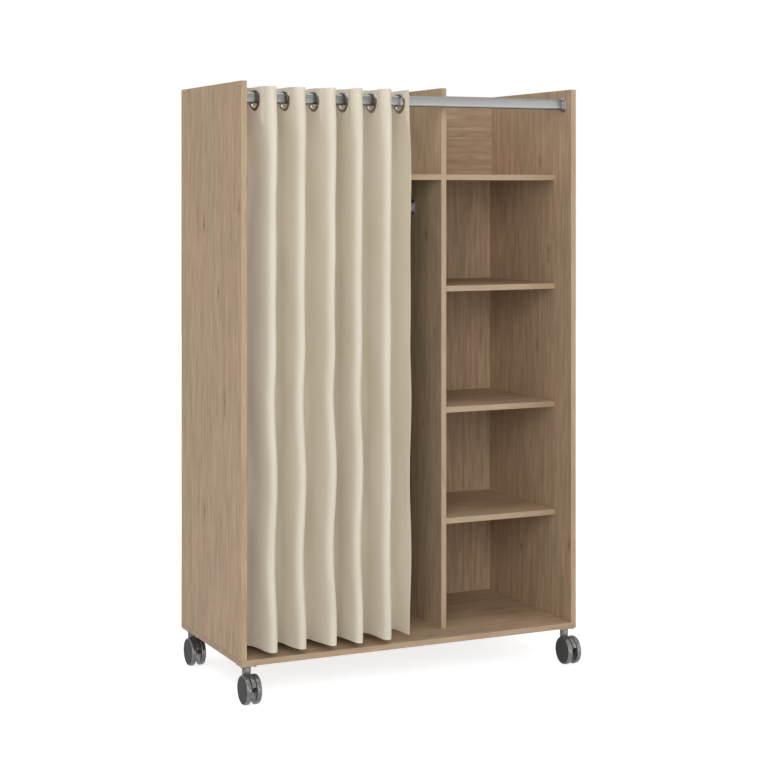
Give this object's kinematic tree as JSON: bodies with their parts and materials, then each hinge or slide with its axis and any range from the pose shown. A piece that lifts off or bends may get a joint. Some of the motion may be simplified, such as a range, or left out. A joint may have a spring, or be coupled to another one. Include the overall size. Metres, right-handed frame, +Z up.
{
  "type": "wardrobe",
  "caption": "Open-topped wardrobe on castors, with a hanging bay behind an eyelet curtain and a column of shelves.",
  "frame": {"origin": "on the floor, in the middle of the overall width and depth, castors included", "axes": "+Z up, the front faces -Y, +X to the right as seen from the front"},
  "size_m": [1.04, 0.538, 1.672],
  "materials": {
    "oak_board": "matt oak decor with fine straight grain and small knots",
    "oak_back": "matt oak decor on thin backing board",
    "curtain_fabric": "plain weave cream cloth",
    "eyelet_metal": "dark polished chrome",
    "rail_aluminium": "satin anodised",
    "socket_metal": "satin grey die casting",
    "castor_steel": "zinc plated",
    "castor_plastic": "dark grey, half gloss"
  },
  "bodies": {
    "carcass": {"base_panel": "oak_board", "side_panel_left": "oak_board", "side_panel_right": "oak_board", "divider_panel": "oak_board", "shelf_lower": "oak_board", "shelf_middle": "oak_board", "shelf_upper": "oak_board", "top_shelf_right": "oak_board", "hat_shelf_left": "oak_board", "back_rail_left": "oak_board", "back_rail_right": "oak_board", "back_panel_left": "oak_back", "back_panel_right": "oak_back", "curtain_rail": "rail_aluminium", "clothes_rail": "rail_aluminium", "curtain_rail_socket_left": "socket_metal", "curtain_rail_socket_right": "socket_metal", "clothes_rail_socket_left": "socket_metal", "clothes_rail_socket_right": "socket_metal", "castor_front_left_plate": "castor_steel", "castor_front_right_plate": "castor_steel", "castor_rear_left_plate": "castor_steel", "castor_rear_right_plate": "castor_steel", "curtain_cloth_01": "curtain_fabric", "curtain_eyelet_01": "eyelet_metal"},
    "curtain_02": {"curtain_cloth_02": "curtain_fabric", "curtain_eyelet_02": "eyelet_metal"},
    "curtain_03": {"curtain_cloth_03": "curtain_fabric", "curtain_eyelet_03": "eyelet_metal"},
    "curtain_04": {"curtain_cloth_04": "curtain_fabric", "curtain_eyelet_04": "eyelet_metal"},
    "curtain_05": {"curtain_cloth_05": "curtain_fabric", "curtain_eyelet_05": "eyelet_metal"},
    "curtain_06": {"curtain_cloth_06": "curtain_fabric", "curtain_eyelet_06": "eyelet_metal"},
    "curtain_07": {"curtain_cloth_07": "curtain_fabric", "curtain_eyelet_07": "eyelet_metal"},
    "curtain_08": {"curtain_cloth_08": "curtain_fabric", "curtain_eyelet_08": "eyelet_metal"},
    "curtain_09": {"curtain_cloth_09": "curtain_fabric", "curtain_eyelet_09": "eyelet_metal"},
    "curtain_10": {"curtain_cloth_10": "curtain_fabric", "curtain_eyelet_10": "eyelet_metal"},
    "curtain_11": {"curtain_cloth_11": "curtain_fabric", "curtain_eyelet_11": "eyelet_metal"},
    "swivel_front_left": {"castor_front_left_hood": "castor_plastic"},
    "wheel_front_left_left": {"castor_front_left_wheel_left": "castor_plastic"},
    "wheel_front_left_right": {"castor_front_left_wheel_right": "castor_plastic"},
    "swivel_front_right": {"castor_front_right_hood": "castor_plastic"},
    "wheel_front_right_left": {"castor_front_right_wheel_left": "castor_plastic"},
    "wheel_front_right_right": {"castor_front_right_wheel_right": "castor_plastic"},
    "swivel_rear_left": {"castor_rear_left_hood": "castor_plastic"},
    "wheel_rear_left_left": {"castor_rear_left_wheel_left": "castor_plastic"},
    "wheel_rear_left_right": {"castor_rear_left_wheel_right": "castor_plastic"},
    "swivel_rear_right": {"castor_rear_right_hood": "castor_plastic"},
    "wheel_rear_right_left": {"castor_rear_right_wheel_left": "castor_plastic"},
    "wheel_rear_right_right": {"castor_rear_right_wheel_right": "castor_plastic"}
  },
  "joints": [
    {"name": "curtain_slide_02", "type": "slide", "parent": "carcass", "child": "curtain_02", "axis": [1, 0, 0], "range_m": [0, 0.05]},
    {"name": "curtain_slide_03", "type": "slide", "parent": "curtain_02", "child": "curtain_03", "axis": [1, 0, 0], "range_m": [0, 0.05]},
    {"name": "curtain_slide_04", "type": "slide", "parent": "curtain_03", "child": "curtain_04", "axis": [1, 0, 0], "range_m": [0, 0.05]},
    {"name": "curtain_slide_05", "type": "slide", "parent": "curtain_04", "child": "curtain_05", "axis": [1, 0, 0], "range_m": [0, 0.05]},
    {"name": "curtain_slide_06", "type": "slide", "parent": "curtain_05", "child": "curtain_06", "axis": [1, 0, 0], "range_m": [0, 0.05]},
    {"name": "curtain_slide_07", "type": "slide", "parent": "curtain_06", "child": "curtain_07", "axis": [1, 0, 0], "range_m": [0, 0.05]},
    {"name": "curtain_slide_08", "type": "slide", "parent": "curtain_07", "child": "curtain_08", "axis": [1, 0, 0], "range_m": [0, 0.05]},
    {"name": "curtain_slide_09", "type": "slide", "parent": "curtain_08", "child": "curtain_09", "axis": [1, 0, 0], "range_m": [0, 0.05]},
    {"name": "curtain_slide_10", "type": "slide", "parent": "curtain_09", "child": "curtain_10", "axis": [1, 0, 0], "range_m": [0, 0.05]},
    {"name": "curtain_slide_11", "type": "slide", "parent": "curtain_10", "child": "curtain_11", "axis": [1, 0, 0], "range_m": [0, 0.05]},
    {"name": "swivel_front_left_turn", "type": "hinge", "parent": "carcass", "child": "swivel_front_left", "pos_m": [-0.4955, -0.204, 0.0989], "axis": [0, 0, 1], "continuous": true},
    {"name": "wheel_front_left_left_spin", "type": "hinge", "parent": "swivel_front_left", "child": "wheel_front_left_left", "pos_m": [-0.4955, -0.229, 0.03978], "axis": [1, 0, 0], "continuous": true},
    {"name": "wheel_front_left_right_spin", "type": "hinge", "parent": "swivel_front_left", "child": "wheel_front_left_right", "pos_m": [-0.4955, -0.229, 0.03978], "axis": [1, 0, 0], "continuous": true},
    {"name": "swivel_front_right_turn", "type": "hinge", "parent": "carcass", "child": "swivel_front_right", "pos_m": [0.4955, -0.204, 0.0989], "axis": [0, 0, 1], "continuous": true},
    {"name": "wheel_front_right_left_spin", "type": "hinge", "parent": "swivel_front_right", "child": "wheel_front_right_left", "pos_m": [0.4955, -0.229, 0.03978], "axis": [1, 0, 0], "continuous": true},
    {"name": "wheel_front_right_right_spin", "type": "hinge", "parent": "swivel_front_right", "child": "wheel_front_right_right", "pos_m": [0.4955, -0.229, 0.03978], "axis": [1, 0, 0], "continuous": true},
    {"name": "swivel_rear_left_turn", "type": "hinge", "parent": "carcass", "child": "swivel_rear_left", "pos_m": [-0.4955, 0.242, 0.0989], "axis": [0, 0, 1], "continuous": true},
    {"name": "wheel_rear_left_left_spin", "type": "hinge", "parent": "swivel_rear_left", "child": "wheel_rear_left_left", "pos_m": [-0.4955, 0.217, 0.03978], "axis": [1, 0, 0], "continuous": true},
    {"name": "wheel_rear_left_right_spin", "type": "hinge", "parent": "swivel_rear_left", "child": "wheel_rear_left_right", "pos_m": [-0.4955, 0.217, 0.03978], "axis": [1, 0, 0], "continuous": true},
    {"name": "swivel_rear_right_turn", "type": "hinge", "parent": "carcass", "child": "swivel_rear_right", "pos_m": [0.4955, 0.242, 0.0989], "axis": [0, 0, 1], "continuous": true},
    {"name": "wheel_rear_right_left_spin", "type": "hinge", "parent": "swivel_rear_right", "child": "wheel_rear_right_left", "pos_m": [0.4955, 0.217, 0.03978], "axis": [1, 0, 0], "continuous": true},
    {"name": "wheel_rear_right_right_spin", "type": "hinge", "parent": "swivel_rear_right", "child": "wheel_rear_right_right", "pos_m": [0.4955, 0.217, 0.03978], "axis": [1, 0, 0], "continuous": true}
  ],
  "couplings": [
    {"joint": "curtain_slide_03", "follows": "curtain_slide_02", "ratio": 1},
    {"joint": "curtain_slide_04", "follows": "curtain_slide_02", "ratio": 1},
    {"joint": "curtain_slide_05", "follows": "curtain_slide_02", "ratio": 1},
    {"joint": "curtain_slide_06", "follows": "curtain_slide_02", "ratio": 1},
    {"joint": "curtain_slide_07", "follows": "curtain_slide_02", "ratio": 1},
    {"joint": "curtain_slide_08", "follows": "curtain_slide_02", "ratio": 1},
    {"joint": "curtain_slide_09", "follows": "curtain_slide_02", "ratio": 1},
    {"joint": "curtain_slide_10", "follows": "curtain_slide_02", "ratio": 1},
    {"joint": "curtain_slide_11", "follows": "curtain_slide_02", "ratio": 1}
  ]
}
